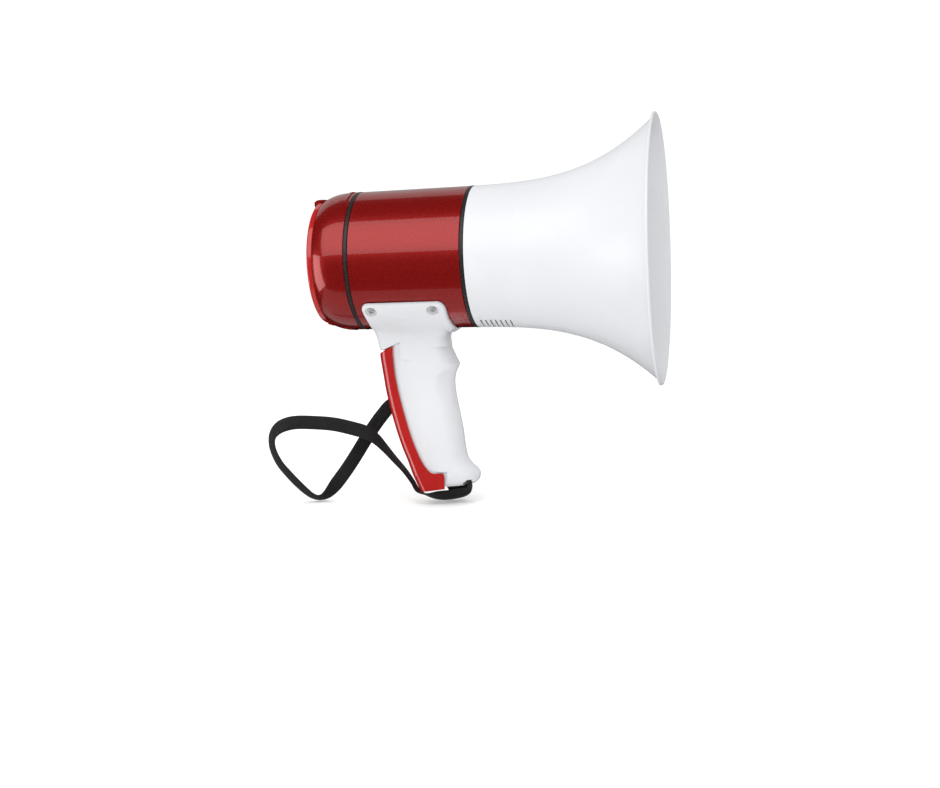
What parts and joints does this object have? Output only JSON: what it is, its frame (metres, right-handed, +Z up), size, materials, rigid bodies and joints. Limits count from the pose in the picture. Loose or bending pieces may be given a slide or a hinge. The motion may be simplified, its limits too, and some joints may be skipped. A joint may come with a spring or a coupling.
{
  "type": "handheld megaphone",
  "caption": "Handheld megaphone: flared bell with a reflex horn, round body with a hinged control door at the rear, pistol grip with a long palm trigger, and a wrist strap.",
  "frame": {"origin": "centre of the pistol grip, where the palm holds it", "axes": "+X along the horn's axis towards the mouth, +Z up from the grip to the horn, +Y to the holder's left"},
  "size_m": [0.3596, 0.23, 0.3313],
  "materials": {
    "circuit_board": "green solder mask",
    "black_plastic": "black moulded plastic, satin",
    "white_plastic": "white moulded plastic, glossy",
    "grey_plastic": "light grey moulded plastic",
    "red_wire": "red vinyl insulation",
    "red_lacquer": "dark metallic red lacquer over moulded plastic, glossy",
    "red_plastic": "bright red moulded plastic, glossy",
    "brass": "bright",
    "steel": "zinc-plated, bright",
    "aluminium": "plain, satin",
    "ferrite": "dark grey ceramic, matte",
    "black_rubber": "black soft vinyl, satin",
    "silver_plate": "brushed silver, satin",
    "copper": "copper winding, taped",
    "webbing": "black ribbed nylon webbing"
  },
  "bodies": {
    "root": {"amplifier_board": "circuit_board", "battery_case": "black_plastic", "battery_connector": "white_plastic", "battery_cradle": "grey_plastic", "battery_lead": "red_wire", "battery_lid": "black_plastic", "body_tube": "red_lacquer", "capacitor_1": "black_plastic", "capacitor_2": "black_plastic", "charger_pin_1": "brass", "charger_pin_2": "brass", "door_hinge_pin": "steel", "driver_cover": "grey_plastic", "driver_diaphragm": "aluminium", "driver_housing": "steel", "driver_magnet": "ferrite", "flange_screw_1": "steel", "flange_screw_2": "steel", "flange_screw_3": "steel", "flange_screw_4": "steel", "front_seam_ring": "black_rubber", "grip_screw_1": "steel", "grip_screw_2": "steel", "grip_screw_3": "steel", "handle_left_shell": "white_plastic", "handle_right_shell": "white_plastic", "heat_sink": "aluminium", "horn_bell": "white_plastic", "latch_pin": "steel", "output_transformer": "copper", "rear_housing": "red_lacquer", "rear_seam_ring": "black_rubber", "reflector": "grey_plastic", "strap": "webbing", "strap_anchor": "steel", "tone_tube": "grey_plastic", "trigger_pin": "steel", "trigger_spring": "steel", "trigger_switch": "black_plastic"},
    "trigger": {"trigger": "red_plastic"},
    "rear_door": {"rear_door": "red_plastic", "label_plate": "silver_plate", "button_bezel": "black_plastic", "switch_1": "black_plastic", "switch_2": "black_plastic", "switch_3": "black_plastic", "switch_4": "black_plastic", "volume_pot": "black_plastic", "control_board": "circuit_board", "mic_capsule": "aluminium", "panel_screw_left": "steel", "panel_screw_right": "steel"},
    "button_1": {"button_1": "red_plastic"},
    "button_2": {"button_2": "red_plastic"},
    "button_3": {"button_3": "red_plastic"},
    "button_4": {"button_4": "red_plastic"},
    "volume_knob": {"volume_knob": "red_plastic"},
    "door_latch": {"door_latch": "red_lacquer"}
  },
  "joints": [
    {"name": "trigger_pull", "type": "hinge", "parent": "root", "child": "trigger", "pos_m": [0.009, 0, -0.061], "axis": [0, 1, 0], "range_deg": [0, 2.6], "stiffness_Nm_per_rad": 4, "springref_deg": -1.72, "deforming": ["trigger_spring"]},
    {"name": "door_open", "type": "hinge", "parent": "root", "child": "rear_door", "pos_m": [-0.076, 0, 0.0815], "axis": [0, -1, 0], "range_deg": [0, 80]},
    {"name": "latch_lift", "type": "hinge", "parent": "root", "child": "door_latch", "pos_m": [-0.056, 0, 0.1939], "axis": [0, 1, 0], "range_deg": [0, 110]},
    {"name": "volume_slide", "type": "slide", "parent": "rear_door", "child": "volume_knob", "axis": [0, 1, 0], "range_m": [-0.0161, 0.0249]},
    {"name": "button_1_press", "type": "slide", "parent": "rear_door", "child": "button_1", "axis": [1, 0, 0], "range_m": [0, 0.0014], "stiffness_N_per_m": 600, "springref_m": -0.0008},
    {"name": "button_2_press", "type": "slide", "parent": "rear_door", "child": "button_2", "axis": [1, 0, 0], "range_m": [0, 0.0014], "stiffness_N_per_m": 600, "springref_m": -0.0008},
    {"name": "button_3_press", "type": "slide", "parent": "rear_door", "child": "button_3", "axis": [1, 0, 0], "range_m": [0, 0.0014], "stiffness_N_per_m": 600, "springref_m": -0.0008},
    {"name": "button_4_press", "type": "slide", "parent": "rear_door", "child": "button_4", "axis": [1, 0, 0], "range_m": [0, 0.0014], "stiffness_N_per_m": 600, "springref_m": -0.0008}
  ]
}
